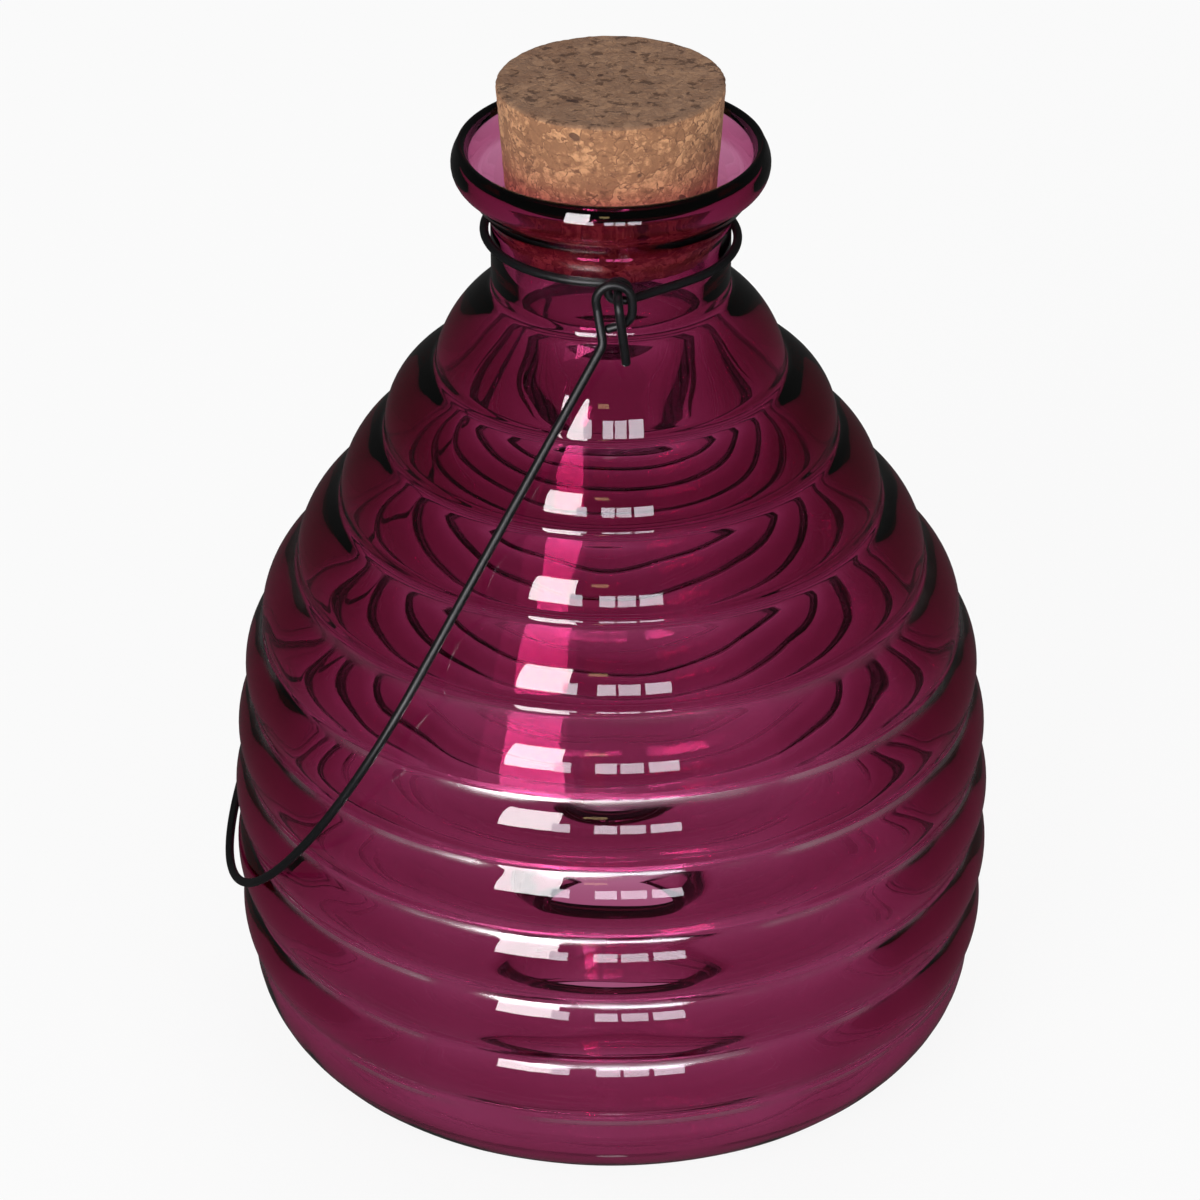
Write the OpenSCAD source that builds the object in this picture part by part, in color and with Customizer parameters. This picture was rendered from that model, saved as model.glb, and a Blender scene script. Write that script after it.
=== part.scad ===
// Ribbed glass fly trap: a skep-shaped glass with an inlet turned up through its base,
// a tapered cork, a wire round the neck and a wire bail to hang it by.
// Millimetres. The axis of the glass is Z, the foot stands on z = 0, and the bail leans on
// the glass on the -X side.

/* [Glass body] */
// Radius of the belly at the bottom of its grooves
belly_r = 68.3; // [55:0.1:85]
// Height of the widest part of the belly
belly_z = 42; // [34:1:48]
// Radius of the barrel curve of the side
side_curve_r = 215; // [190:5:400]
// Height of the lowest groove
heel_z = 18.7; // [16:0.1:22]
// Radius of the rounded heel
heel_r = 18; // [14:0.5:18.5]
// How far the heel stands out past the lowest groove
heel_swell = 0.6; // [0.3:0.1:1.5]
// Distance between grooves, measured upwards
rib_pitch = 13.05; // [11:0.05:15]
// Number of grooves up the side
groove_count = 10; // [9:1:10]
// Swell of a rib past the straight line between its grooves
rib_swell = 1.85; // [0.8:0.05:2.5]
// Swell of the top rib, which runs up to the neck
top_rib_swell = 1.7; // [0.6:0.1:3]
// Height of the top rib
top_rib_h = 15.3; // [12:0.1:18]
// Radius of the shoulder at the top groove
shoulder_top_r = 32.9; // [29:0.1:36]
// How far the top groove lies inside the shoulder
top_groove_in = 1; // [0:0.1:1.2]
// Slope of the shoulder from the vertical, in degrees
shoulder_angle = 32.2; // [28:0.1:36]
// Thickness of the glass
wall = 3; // [2:0.1:4]
// Swell of the ribs inside
inner_swell = 0.7; // [0.2:0.05:1.4]

/* [Inlet in the base] */
// Radius of the hole at the top of the inlet
inlet_r = 12; // [10:0.5:18]
// Radius of the inlet's mouth in the foot
inlet_mouth_r = 20; // [18:0.5:32]
// Height of the inlet's rim above the foot
inlet_h = 15; // [12:1:50]

/* [Neck and lip] */
// Height of the straight neck
neck_h = 14; // [12:0.5:18]
// Thickness of the glass at the top of the neck
neck_wall = 2.8; // [2:0.1:4]
// Height of the lip above the neck
lip_h = 13.4; // [12:0.1:16]
// How far the lip stands out past the neck
lip_reach = 6.8; // [5:0.1:8]
// Rounding of the lip
lip_round = 4.5; // [3:0.1:5]
// Height of the rim above the widest part of the lip
lip_mid = 3.8; // [3:0.1:5]
// How far the rim lies inside the widest part of the lip
rim_inset = 0.8; // [0.4:0.1:1.5]
// Thickness of the rim
rim_t = 1.8; // [1.2:0.1:2.6]
// Thickness of the glass where the lip is widest
cup_wall = 5; // [3.5:0.1:5.5]
// Rounding of the hollow inside the lip
cup_round = 3; // [2.5:0.1:4.5]
// Depth of the rounding's middle below the rim
cup_drop = 4; // [3.5:0.05:5.5]
// Turn of the hollow's wall towards the throat, in degrees
cup_turn = 45; // [40:1:60]
// Height of the throat above the top of the neck
throat_up = 2.5; // [1:0.1:4]

/* [Cork] */
// Radius of the cork's top
cork_top_r = 20; // [17:0.1:22]
// Radius of the cork's foot
cork_foot_r = 17.8; // [15:0.1:19]
// Length of the cork
cork_len = 30; // [24:1:34]
// How far the cork stands above the rim
cork_proud = 11.6; // [6:0.1:12]
// Worn edge of the cork
cork_edge = 0.7; // [0.3:0.1:1.2]
// Gap between cork and throat
cork_gap = 0.2; // [0.1:0.05:0.4]

/* [Wire] */
// Thickness of the wire
wire_d = 1.6; // [1.2:0.1:2]
// Gap between the neck wires and the neck
neck_gap = 0.3; // [0.2:0.05:0.6]
// Gap between wires that hook together
hook_gap = 0.2; // [0.15:0.05:0.4]
// Height of the hooks above the foot of the neck
hook_up = 11.1; // [9:0.1:11.5]
// Sideways place of the hooks
hook_x = 1.2; // [0:0.1:2]
// Radius of the tight bends in the wire, at its middle
bend_r = 2; // [1.7:0.1:2.5]
// Length of the hooks' tails below their bends
tail_len = 9.5; // [6:0.5:12]
// Sideways lean of the tails, in degrees
tail_lean = 7; // [0:1:12]
// Turn of the curls round the hooks, in degrees
curl_turn = 255; // [200:5:265]
// Straight run before a curl
curl_run = 1; // [0.5:0.1:2]

/* [Bail] */
// Inner radius of the bail's eyes
eye_in_r = 2.3; // [2:0.1:2.8]
// Length of the eye's inner side
eye_side = 4.9; // [4:0.1:6]
// Turn of the eye over the hook, in degrees
eye_turn = 188; // [180:1:195]
// Drop of the eye's outer side
eye_drop = 1.7; // [1:0.1:2.5]
// Closing turn of the eye, in degrees
eye_close = 75; // [60:1:80]
// Length of the eye's free end
eye_end = 2.1; // [1:0.1:2.2]
// Bend between the eye and the leg, in degrees
eye_kink = 39; // [35:1:43]
// Radius of the bends between eye and leg
kink_r = 3; // [2:0.1:4]
// Straight run between those bends and the eye's turn
kink_run = 0.5; // [0.2:0.1:1]
// Spread of each leg from the eye's plane, in degrees
leg_spread = 20; // [19.5:0.5:24]
// Length of the straight legs
leg_len = 65.5; // [62:0.5:68]
// Gap between the leaning bail and the belly
lean_gap = 0.6; // [0.3:0.05:1]

/* [Hidden] */
$fn = 96;
wire_sides = 24;
rib_steps = 8;
heel_steps = 12;
round_steps = 6;
leg_checks = 12;
bead = 0.05;

// Heights of the glass
top_groove_z = heel_z + rib_pitch * (groove_count - 1);
neck_z = top_groove_z + top_rib_h;
lip_z = neck_z + neck_h;
rim_z = lip_z + lip_h;
throat_z = lip_z + throat_up;

// Cork and bore share one taper
cork_top_z = rim_z + cork_proud;
cork_foot_z = cork_top_z - cork_len;
cork_taper = (cork_top_r - cork_foot_r) / cork_len;
function bore_r(z) = cork_foot_r + cork_taper * (z - cork_foot_z) + cork_gap;
neck_r = bore_r(lip_z) + neck_wall;
lip_r = neck_r + lip_reach;

// Side line of the glass at the grooves, moved in by an inset
function side_r(z, inset) =
    belly_r - inset - side_curve_r + sqrt(pow(side_curve_r, 2) - pow(z - belly_z, 2));
function shoulder_r(z, inset) =
    shoulder_top_r + (top_groove_z - z) * tan(shoulder_angle) - inset / cos(shoulder_angle);
function groove_r(z, inset) = min(side_r(z, inset), shoulder_r(z, inset));
function grooves(inset) =
    [for (i = [0 : groove_count - 1]) let (z = heel_z + rib_pitch * i) [groove_r(z, inset), z]];
heel_x = groove_r(heel_z, 0) + heel_swell - heel_r;

// Neck wires: places outwards from the axis of the glass
ring_r = neck_r + neck_gap + wire_d / 2;
hook_z = neck_z + hook_up;
hook_angle = asin((hook_x - bend_r) / (ring_r + bend_r));
hook_y = (ring_r + bend_r) * cos(hook_angle);
curl_r = wire_d + hook_gap;
curl_y = hook_y + wire_d / 2 + hook_gap;
eye_y = curl_y + wire_d + hook_gap;
tail_y = eye_y + wire_d / 2 + hook_gap;

// The curled wire leaves the neck on a tangent and turns square to the hook
curl_x = hook_x + curl_run;
curl_bend_y = curl_y - bend_r;
curl_reach = norm([curl_x, curl_bend_y]);
curl_leave = atan2(curl_x, curl_bend_y) + acos((ring_r - bend_r) / curl_reach);
curl_tangent = sqrt(pow(curl_reach, 2) - pow(ring_r - bend_r, 2));

// Bail, seen with its legs straight down from the hook. The wire leaves the leg by a kink to the
// left, runs on in the leg's spread so that it clears the lip, and bends into the flat of the eye
eye_r = eye_in_r + wire_d / 2;
eye_seat = eye_in_r - wire_d / 2 - hook_gap;
eye_flat = asin(cos(eye_kink) * sin(leg_spread));
eye_tilt = atan2(sin(eye_kink), cos(eye_kink) * cos(leg_spread));
flat_turn = atan2(cos(leg_spread), sin(eye_kink) * sin(leg_spread));
leg_dir = [0, sin(leg_spread), cos(leg_spread)];
side_dir = cos(eye_kink) * leg_dir - [sin(eye_kink), 0, 0];
eye_dir = [-sin(eye_tilt), 0, cos(eye_tilt)];
eye_lead = kink_r * (sin(eye_kink) * leg_dir - [1 - cos(eye_kink), 0, 0])
    + eye_side * side_dir
    + kink_r * (sin(eye_flat) * eye_dir + [0, 1 - cos(eye_flat), 0])
    + kink_run * eye_dir;
eye_start = [-eye_r * cos(eye_tilt), -eye_y, -eye_seat - eye_r * sin(eye_tilt)];
leg_top = eye_start - eye_lead;
arch_r = (leg_len * sin(leg_spread) - leg_top.y) / cos(leg_spread);
bail_drop = leg_len * cos(leg_spread) + arch_r * (1 + sin(leg_spread)) - leg_top.z;

// The bail leans on the belly, or on the shoulder where its legs would meet that first.
// Lean at which a point of the bail, at a depth below the hook, lies a reach out from the axis
function lean_for(depth, reach) =
    asin((reach + hook_x) / norm([depth, leg_top.x])) + atan2(leg_top.x, depth);
lean_clear = lean_gap + wire_d / 2;
belly_lean = lean_for(bail_drop, belly_r + rib_swell + lean_clear);
function shoulder_lean(run) =
    let (
        depth = run * cos(leg_spread) - leg_top.z,
        aside = run * sin(leg_spread) - leg_top.y,
        z = hook_z - leg_top.x * sin(belly_lean) - depth * cos(belly_lean),
        clear_r = groove_r(z, 0) + rib_swell / cos(shoulder_angle) + lean_clear
    )
    z < top_groove_z && clear_r > aside
        ? lean_for(depth, sqrt(pow(clear_r, 2) - pow(aside, 2)))
        : belly_lean;
bail_lean = max([for (i = [0 : leg_checks]) max(belly_lean, shoulder_lean(leg_len * i / leg_checks))]);

// Points of an arc that swells out to the right of the line between two points, less the last point
function swell(from, to, height, count) =
    let (
        chord = norm(to - from),
        arc_r = (pow(chord, 2) / 4 + pow(height, 2)) / (2 * height),
        along = (to - from) / chord,
        out = [along.y, -along.x],
        centre = (from + to) / 2 + out * (height - arc_r),
        half = asin(chord / 2 / arc_r)
    )
    [for (i = [0 : count - 1])
        let (a = half * (2 * i / count - 1))
        centre + arc_r * (along * sin(a) + out * cos(a))];

// Points of a round corner, from one angle to another
function corner(centre, radius, from, to, count) =
    [for (i = [0 : count]) let (a = from + (to - from) * i / count) centre + radius * [cos(a), sin(a)]];

// Ribs from the lowest groove up to the foot of the neck, with the top groove sunk. The rib
// below that groove swells more by half as much, which keeps its middle in line
function ribs(inset, height, top_r, top_height, sunk) =
    let (
        last = groove_count - 1,
        line = grooves(inset),
        points = concat(
            [for (i = [0 : last - 1]) line[i]],
            [line[last] - [sunk, 0], [top_r, neck_z]]
        ),
        heights = concat([for (i = [0 : last - 2]) height], [height + sunk / 2, top_height])
    )
    [for (i = [0 : last]) each swell(points[i], points[i + 1], heights[i], rib_steps)];

// Rounded heel, from the foot up to the lowest groove
function heel(inset) = corner([heel_x, heel_r], heel_r - inset, -90, 0, heel_steps);

// Neck, rolled lip and rim, from outside to inside
function neck_and_lip() = concat(
    [[neck_r, neck_z], [neck_r, lip_z]],
    corner([lip_r - lip_round, rim_z - lip_mid], lip_round, -60, 30, round_steps),
    corner([lip_r - rim_inset - rim_t / 2, rim_z - rim_t / 2], rim_t / 2, 45, 180, round_steps),
    corner([lip_r - cup_wall - cup_round, rim_z - cup_drop], cup_round, 0, -cup_turn, round_steps),
    [[bore_r(throat_z), throat_z]]
);

// Inlet turned up from the foot, from inside the trap over its rim to the foot
function inlet() = concat(
    [[inlet_mouth_r + wall, wall]],
    corner([inlet_r + wall / 2, inlet_h - wall / 2], wall / 2, 0, 180, round_steps),
    corner([inlet_mouth_r + wall / 2, wall / 2], wall / 2, 180, 270, round_steps)
);

// Section of the glass: up the outside, down the inside
module glass_section() {
    inside = concat(
        heel(wall),
        ribs(wall, inner_swell, bore_r(neck_z), inner_swell, 0),
        [[bore_r(neck_z), neck_z]]
    );
    polygon(concat(
        heel(0),
        ribs(0, rib_swell, neck_r, top_rib_swell, top_groove_in),
        neck_and_lip(),
        [for (i = [len(inside) - 1 : -1 : 0]) inside[i]],
        inlet()
    ));
}

module glass_bottle() {
    color([0.5, 0.1, 0.3, 0.7])
        rotate_extrude()
            glass_section();
}

module cork_stopper() {
    color([0.72, 0.54, 0.36])
        rotate_extrude()
            polygon([
                [0, cork_foot_z],
                [cork_foot_r - cork_edge, cork_foot_z],
                [cork_foot_r + cork_taper * cork_edge, cork_foot_z + cork_edge],
                [cork_top_r - cork_taper * cork_edge, cork_top_z - cork_edge],
                [cork_top_r - cork_edge, cork_top_z],
                [0, cork_top_z]
            ]);
}

// One bend of the wire, from +Z towards +X, with its ends just short of the beads' middles
module wire_bend(radius, angle) {
    short = bead * 180 / PI / radius;
    translate([radius, 0, 0])
        rotate([90, 0, 180])
            rotate([0, 0, short])
                rotate_extrude(angle = angle - 2 * short)
                    translate([radius, 0])
                        circle(d = wire_d, $fn = wire_sides);
}

// A bead a hair thicker than the wire closes each joint between a run and a bend
module wire_bead() {
    sphere(d = wire_d + 2 * bead, $fn = wire_sides);
}

// Wire that leaves the origin along +Z.
// Each step is [feed, turn about the wire, bend radius, bend angle]
module bent_wire(steps, i = 0) {
    if (i < len(steps)) {
        feed = steps[i][0];
        radius = steps[i][2];
        angle = steps[i][3];
        wire_bead();
        if (feed > 0)
            translate([0, 0, bead])
                cylinder(d = wire_d, h = feed - (angle > 0 ? 2 : 1) * bead, $fn = wire_sides);
        if (angle > 0)
            translate([0, 0, feed])
                rotate([0, 0, steps[i][1]]) {
                    if (feed > 0)
                        wire_bead();
                    wire_bend(radius, angle);
                    translate([radius * (1 - cos(angle)), 0, radius * sin(angle)])
                        rotate([0, angle, 0])
                            bent_wire(steps, i + 1);
                }
    }
}

// A shape and its mirror image, front and back
module front_and_back() {
    children();
    mirror([0, 1, 0])
        children();
}

// Left half of the neck wire: each end turns out as a hook for an eye of the bail and bends down
module neck_wire_hooked() {
    color([0.09, 0.09, 0.1])
        front_and_back()
            translate([-ring_r, 0, hook_z])
                rotate([90, 0, 0])
                    bent_wire([
                        [0, 0, ring_r, 90 + hook_angle],
                        [0, 180, bend_r, 90 + hook_angle],
                        [tail_y - hook_y, 90 + tail_lean, bend_r, 90],
                        [tail_len, 0, 0, 0]
                    ]);
}

// Right half of the neck wire: each end curls round a hook of the left half
module neck_wire_curled() {
    color([0.09, 0.09, 0.1])
        front_and_back()
            translate([ring_r, 0, hook_z - curl_r])
                rotate([90, 0, 0])
                    rotate([0, 0, 180])
                        bent_wire([
                            [0, 0, ring_r, 90 - curl_leave],
                            [curl_tangent, 0, bend_r, curl_leave],
                            [curl_run, -90, curl_r, curl_turn]
                        ]);
}

// Bail: a round arch, legs that draw in to clear the lip, and an eye at each end
module bail_handle() {
    color([0.09, 0.09, 0.1])
        translate([hook_x, 0, hook_z])
            rotate([0, bail_lean, 0])
                front_and_back()
                    translate([leg_top.x, 0, -bail_drop])
                        rotate([90, 0, 0])
                            rotate([0, 0, 90])
                                bent_wire([
                                    [0, 0, arch_r, 90 + leg_spread],
                                    [leg_len, 90, kink_r, eye_kink],
                                    [eye_side, flat_turn, kink_r, eye_flat],
                                    [kink_run, 90, eye_r, eye_turn],
                                    [eye_drop, 0, eye_r, eye_close],
                                    [eye_end, 0, 0, 0]
                                ]);
}

glass_bottle();
cork_stopper();
neck_wire_hooked();
neck_wire_curled();
bail_handle();
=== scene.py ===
"""Ribbed glass fly trap: plum glass, cork, neck wire and bail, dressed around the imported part."""

import math
from collections import namedtuple

import bmesh
import bpy
from bpy.props import FloatProperty, FloatVectorProperty, IntProperty, PointerProperty
from mathutils import Matrix, Vector, noise


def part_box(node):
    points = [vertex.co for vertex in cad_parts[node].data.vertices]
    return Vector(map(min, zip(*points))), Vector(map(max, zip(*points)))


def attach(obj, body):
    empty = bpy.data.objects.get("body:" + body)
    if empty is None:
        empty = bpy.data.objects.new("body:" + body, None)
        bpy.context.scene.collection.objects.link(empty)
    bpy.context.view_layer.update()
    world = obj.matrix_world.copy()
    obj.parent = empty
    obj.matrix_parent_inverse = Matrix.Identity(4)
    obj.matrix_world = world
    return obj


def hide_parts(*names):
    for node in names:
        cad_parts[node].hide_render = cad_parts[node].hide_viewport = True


bl_info = {
    "name": "Glass fly trap",
    "version": (1, 0, 0),
    "blender": (4, 5, 0),
    "location": "View3D > Sidebar > Fly trap",
    "description": "Dresses the packed fly trap with glass, cork and wire",
    "category": "Object",
}

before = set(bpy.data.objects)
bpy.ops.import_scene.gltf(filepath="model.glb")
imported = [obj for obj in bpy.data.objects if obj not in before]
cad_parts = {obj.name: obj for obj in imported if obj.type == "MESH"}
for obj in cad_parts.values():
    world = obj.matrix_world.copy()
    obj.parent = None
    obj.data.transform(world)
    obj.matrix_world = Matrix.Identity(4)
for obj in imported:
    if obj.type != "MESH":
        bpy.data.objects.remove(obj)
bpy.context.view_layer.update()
GLASS_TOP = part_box("glass_bottle")[1].z
CORK_LOW, CORK_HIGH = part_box("cork_stopper")
MM = 0.001
WELD = 1e-6
UP = Vector((0, 0, 1))
QUARTER = math.pi / 2


def length(name, description, mm):
    """A size in millimetres, kept as a length property."""
    return FloatProperty(
        name=name, description=description, default=mm * MM, min=0, unit="LENGTH", precision=5
    )


def angle(name, description, degrees):
    """An angle in degrees, kept as an angle property."""
    turned = math.radians(degrees)
    return FloatProperty(name=name, description=description, default=turned, subtype="ANGLE")


def number(name, description, value):
    """A plain number, from 0 up."""
    return FloatProperty(name=name, description=description, default=value, min=0)


def colour(name, description, red, green, blue):
    """A colour, as linear red, green and blue."""
    return FloatVectorProperty(
        name=name, description=description, default=(red, green, blue), subtype="COLOR", min=0, max=1
    )


class GlassSizes(bpy.types.PropertyGroup):
    """Sizes and colour of the glass"""

    belly_r: length("Belly radius", "Radius of the belly at the bottom of its grooves", 68.3)
    belly_z: length("Belly height", "Height of the widest part", 42)
    side_curve_r: length("Side curve", "Radius of the barrel curve of the side", 215)
    heel_z: length("Lowest groove", "Height of the lowest groove", 18.7)
    heel_r: length("Heel radius", "Rounding of the heel", 18)
    heel_swell: length("Heel swell", "How far the heel stands out past its groove", 0.6)
    rib_pitch: length("Rib pitch", "Height from groove to groove", 13.05)
    groove_count: IntProperty(name="Grooves", description="Number of grooves", default=10, min=9, max=10)
    rib_swell: length("Rib swell", "Swell of a rib past the line between its grooves", 1.85)
    top_rib_swell: length("Top rib swell", "Swell of the rib below the neck", 1.7)
    top_rib_h: length("Top rib height", "Height of the rib below the neck", 15.3)
    shoulder_r: length("Shoulder radius", "Radius at the top groove", 32.9)
    top_groove_in: length("Top groove", "How far the top groove lies inside the shoulder", 1)
    shoulder_slope: angle("Shoulder slope", "Slope of the shoulder from the vertical", 32.2)
    wall: length("Wall", "Thickness of the glass", 3)
    shoulder_wall: length("Shoulder wall", "Extra thickness of the glass towards the neck", 1.6)
    inner_swell: length("Inner swell", "Swell of the ribs inside", 0.7)
    groove_round: length("Groove rounding", "Radius at the bottom of a groove", 2.2)
    groove_sink: length("Groove sink", "How far a groove is sunk before it is rounded", 0.4)
    inner_round: length("Inner rounding", "Radius of the ridges inside", 3)
    inlet_r: length("Inlet hole", "Radius of the hole at the top of the inlet", 12)
    inlet_mouth_r: length("Inlet mouth", "Radius of the inlet in the foot", 20)
    inlet_h: length("Inlet height", "Height of the inlet's rim", 15)
    neck_h: length("Neck height", "Height of the straight neck", 14)
    neck_wall: length("Neck wall", "Thickness of the glass at the neck", 2.8)
    lip_reach: length("Lip reach", "How far the lip stands out past the neck", 6.8)
    lip_round: length("Lip rounding", "Rounding of the lip", 4.3)
    lip_mid: length("Lip middle", "Height of the rim above the widest part of the lip", 3.5)
    rim_inset: length("Rim inset", "How far the rim lies inside the lip", 0.8)
    rim_t: length("Rim thickness", "Thickness of the rim", 1.8)
    throat_up: length("Throat height", "Height of the throat above the neck", 2.5)
    cup_wall: length("Cup wall", "Thickness of the glass where the lip is widest", 4.6)
    cup_round: length("Cup rounding", "Rounding of the hollow inside the lip", 3.2)
    cup_drop: length("Cup depth", "Depth of the rounding's middle below the rim", 4.2)
    cup_turn: angle("Cup turn", "Turn of the hollow's wall towards the throat", 48)
    unevenness: length("Unevenness", "How far the wall wanders from a true round", 0.1)
    tint: colour("Tint", "Colour that the glass lets through", 0.59, 0.0, 0.32)
    depth: number("Depth", "Absorption of the tint, per metre", 500)


class CorkSizes(bpy.types.PropertyGroup):
    """Sizes and colours of the cork"""

    top_r: length("Top radius", "Radius of the cork's top", 20)
    foot_r: length("Foot radius", "Radius of the cork's foot", 17.8)
    gap: length("Gap", "Gap between cork and throat", 0.2)
    edge: length("Edge", "Worn edge of the cork", 0.7)
    granule: length("Granule", "Size of the cork's granules", 2.6)
    pit: length("Pit depth", "Depth of the pits between granules", 0.22)
    pale: colour("Pale", "Colour of the palest granules", 0.68, 0.35, 0.17)
    mid: colour("Middle", "Colour of most granules", 0.38, 0.175, 0.08)
    bark: colour("Bark", "Colour of cracks and bark flecks", 0.2, 0.085, 0.042)
    dark: colour("Dark", "Colour of pits", 0.07, 0.026, 0.016)
    aged: colour("Aged", "Greyed colour of the cork's top", 0.27, 0.15, 0.088)


class WireSizes(bpy.types.PropertyGroup):
    """Sizes and colour of the wires"""

    thickness: length("Thickness", "Thickness of the wire", 1.6)
    neck_gap: length("Neck gap", "Gap between the neck wires and the neck", 0.3)
    hook_gap: length("Hook gap", "Gap between wires that hook together", 0.2)
    hook_up: length("Hook height", "Height of the hooks above the foot of the neck", 11.1)
    hook_x: length("Hook place", "Sideways place of the hooks", 1.2)
    bend_r: length("Bend", "Radius of the tight bends", 2)
    tail_len: length("Tail", "Length of the hooks' tails", 9.5)
    tail_lean: angle("Tail lean", "Sideways lean of the tails", 7)
    curl_turn: angle("Curl turn", "Turn of the curls round the hooks", 255)
    curl_run: length("Curl run", "Straight run before a curl", 1)
    eye_in_r: length("Eye", "Inner radius of the bail's eyes", 2.3)
    eye_side: length("Eye side", "Length of the eye's inner side", 4.9)
    eye_turn: angle("Eye turn", "Turn of the eye over the hook", 188)
    eye_drop: length("Eye drop", "Drop of the eye's outer side", 1.7)
    eye_close: angle("Eye close", "Closing turn of the eye", 75)
    eye_end: length("Eye end", "Length of the eye's free end", 2.1)
    eye_kink: angle("Kink", "Bend between eye and leg", 39)
    kink_r: length("Kink radius", "Radius of the bends between eye and leg", 3)
    kink_run: length("Kink run", "Straight run before the eye's turn", 0.5)
    leg_spread: angle("Leg spread", "Spread of each leg", 20)
    leg_len: length("Leg length", "Length of the straight legs", 65.5)
    lean_gap: length("Lean gap", "Gap between the leaning bail and the belly", 0.6)
    black: colour("Black", "Colour of the wire's coat", 0.006, 0.006, 0.007)


class StageSizes(bpy.types.PropertyGroup):
    """Camera, lamps and floor"""

    distance: length("Camera distance", "Distance from the camera to its aim", 900)
    aim_z: length("Aim height", "Height of the camera's aim", 90)
    elevation: angle("Elevation", "Angle of the camera above the horizon", 29.83)
    yaw: angle("Yaw", "Turn of the camera off its aim, to the right", -0.13)
    pitch: angle("Pitch", "Turn of the camera off its aim, upwards", -0.169)
    roll: angle("Roll", "Turn of the camera about its axis", -0.044)
    focal: number("Focal length", "Lens, in millimetres", 147.73)
    ambient: number("Ambient", "Light from all round", 0.4)
    floor_white: number("Floor", "Share of the floor that is plain white", 0.9)


class FlyTrap(bpy.types.PropertyGroup):
    """All the settings of the fly trap"""

    glass: PointerProperty(type=GlassSizes)
    cork: PointerProperty(type=CorkSizes)
    wire: PointerProperty(type=WireSizes)
    stage: PointerProperty(type=StageSizes)


# Shader maths as Python expressions
class Value:
    """A shader output that takes part in sums and products"""

    def __init__(self, finish, socket):
        self.finish = finish
        self.socket = socket

    def math(self, operation, *values):
        return self.finish.node("ShaderNodeMath", {"operation": operation}, dict(enumerate(values)))

    def __add__(self, other):
        return self.math("ADD", self, other)

    def __radd__(self, other):
        return self.math("ADD", other, self)

    def __sub__(self, other):
        return self.math("SUBTRACT", self, other)

    def __rsub__(self, other):
        return self.math("SUBTRACT", other, self)

    def __mul__(self, other):
        return self.math("MULTIPLY", self, other)

    def __rmul__(self, other):
        return self.math("MULTIPLY", other, self)

    def __truediv__(self, other):
        return self.math("DIVIDE", self, other)

    def most(self, other):
        return self.math("MAXIMUM", self, other)

    def fraction(self):
        return self.math("FRACT", self)


class Finish:
    """A node tree that is written as expressions"""

    def __init__(self, tree):
        self.tree = tree
        tree.nodes.clear()

    @classmethod
    def material(cls, name):
        made = bpy.data.materials.new(name)
        made.use_nodes = True
        finish = cls(made.node_tree)
        finish.made = made
        return finish

    def node(self, kind, settings=None, inputs=None, out=0):
        made = self.tree.nodes.new(kind)
        for key, value in (settings or {}).items():
            setattr(made, key, value)
        for key, value in (inputs or {}).items():
            if isinstance(value, Value):
                self.tree.links.new(value.socket, made.inputs[key])
            else:
                made.inputs[key].default_value = value
        return Value(self, made.outputs[out]) if made.outputs else made

    def ramp(self, value, stops):
        """Colours along a value, as (place, colour) stops"""
        made = self.node("ShaderNodeValToRGB", {}, {"Fac": value})
        elements = made.socket.node.color_ramp.elements
        while len(elements) < len(stops):
            elements.new(1)
        for element, (place, shade) in zip(elements, stops):
            element.position = place
            element.color = (*shade, 1)
        return made

    def mix(self, share, first, second):
        """A colour between two"""
        kind = {"data_type": "RGBA", "blend_type": "MIX"}
        inputs = {0: share, 6: opaque(first), 7: opaque(second)}
        return self.node("ShaderNodeMix", kind, inputs, out=2)

    def step(self, value, low, high):
        """0 below low, 1 above high, smooth between"""
        kind = {"interpolation_type": "SMOOTHSTEP"}
        inputs = {"Value": value, "From Min": low, "From Max": high}
        return self.node("ShaderNodeMapRange", kind, inputs)

    def place(self, scale=(1, 1, 1)):
        """The piece's own coordinates, in metres, stretched by a scale"""
        here = self.node("ShaderNodeTexCoord", out="Object")
        return self.node("ShaderNodeMapping", {}, {"Vector": here, "Scale": scale})

    def height(self):
        """The height on the piece, in metres"""
        return self.node("ShaderNodeSeparateXYZ", {}, {0: self.place()}, out=2)

    def noise(self, where, scale, detail=2.0, roughness=0.5):
        inputs = {"Vector": where, "Scale": scale, "Detail": detail, "Roughness": roughness}
        return self.node("ShaderNodeTexNoise", {}, inputs)

    def bump(self, height, distance, strength):
        inputs = {"Height": height, "Distance": distance, "Strength": strength}
        return self.node("ShaderNodeBump", {}, inputs)

    def surface(self, inputs, volume=None):
        """The closing shader and output"""
        shader = self.node("ShaderNodeBsdfPrincipled", {}, inputs)
        links = {"Surface": shader}
        if volume:
            links["Volume"] = volume
        self.node("ShaderNodeOutputMaterial", {}, links)
        return self.made


def opaque(shade):
    """A colour with its alpha, where it isn't already a shader's output"""
    return shade if isinstance(shade, Value) else (*shade, 1)


def blend(first, second, share):
    """A colour between two, by the share of the second"""
    return tuple(a + share * (b - a) for a, b in zip(first, second))


# Turned pieces: a half section drawn with lines and arcs, then spun
Circle = namedtuple("Circle", "centre radius")


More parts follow.
